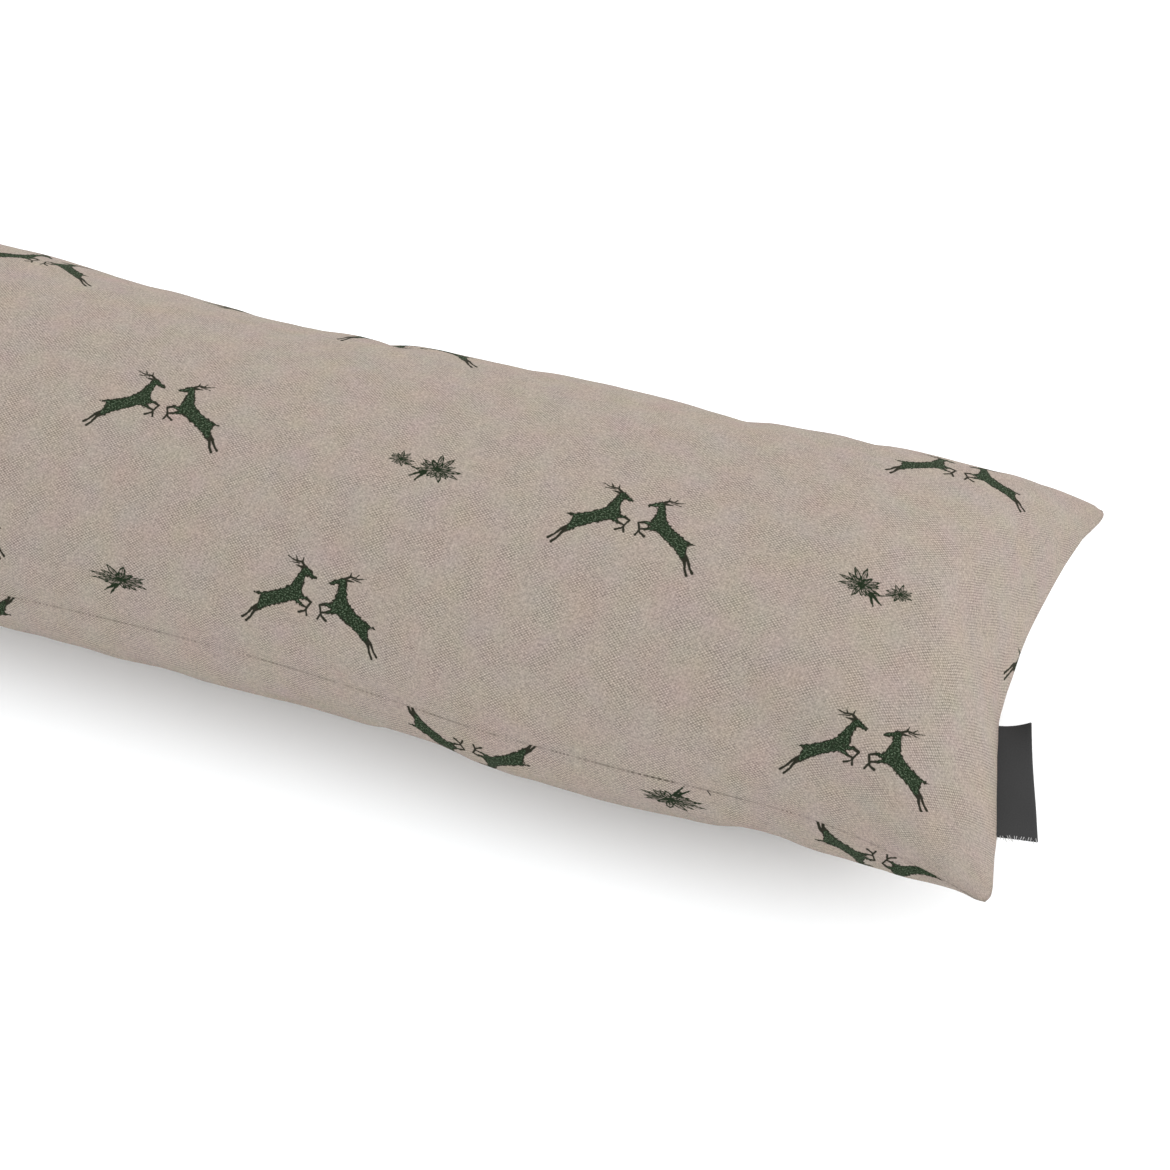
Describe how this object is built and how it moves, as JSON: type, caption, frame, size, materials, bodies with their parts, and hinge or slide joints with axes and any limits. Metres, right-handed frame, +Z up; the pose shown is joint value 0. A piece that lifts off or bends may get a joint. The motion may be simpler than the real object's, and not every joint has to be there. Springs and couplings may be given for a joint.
{
  "type": "draught excluder",
  "caption": "Long filled cloth bolster that lies along the foot of a door to keep draughts out, with a small folded ribbon sewn into one end seam.",
  "frame": {"origin": "on the floor under the middle of the bolster's box, label included", "axes": "+X along the bolster towards the end with the ribbon, +Y towards its back seam, +Z up"},
  "size_m": [0.8932, 0.174, 0.1055],
  "materials": {
    "cover_cloth": "natural beige linen-look weave, printed in dark green",
    "label_ribbon": "fine black woven ribbon"
  },
  "bodies": {
    "root": {"bolster": "cover_cloth", "seam_label": "label_ribbon"}
  },
  "joints": []
}
